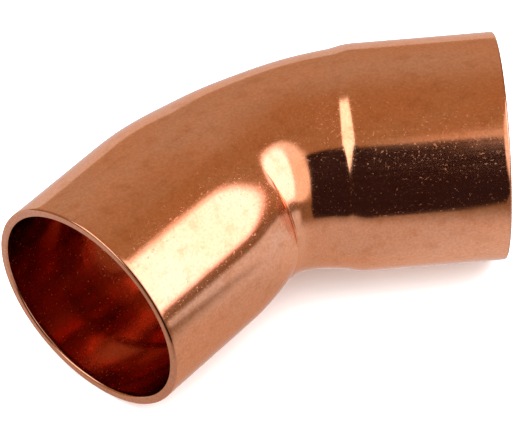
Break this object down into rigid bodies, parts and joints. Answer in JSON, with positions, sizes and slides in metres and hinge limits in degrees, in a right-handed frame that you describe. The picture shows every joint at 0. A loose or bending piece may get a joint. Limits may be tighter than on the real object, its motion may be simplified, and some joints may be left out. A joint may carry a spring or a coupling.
{
  "type": "forty-five degree elbow",
  "caption": "Copper forty-five degree pipe elbow with a plain solder socket at each end, which joins lengths of 22 mm tube at an obtuse corner.",
  "frame": {"origin": "middle of the tube stop in the socket that faces +X, level with both sockets' axes", "axes": "+X along that socket's axis, out of its mouth; +Z square to the plane that both axes lie in, so the elbow lies flat and the other socket faces between -X and -Y"},
  "size_m": [0.0528, 0.0388, 0.024],
  "materials": {
    "copper": "polished"
  },
  "bodies": {
    "root": {"elbow": "copper"}
  },
  "joints": []
}
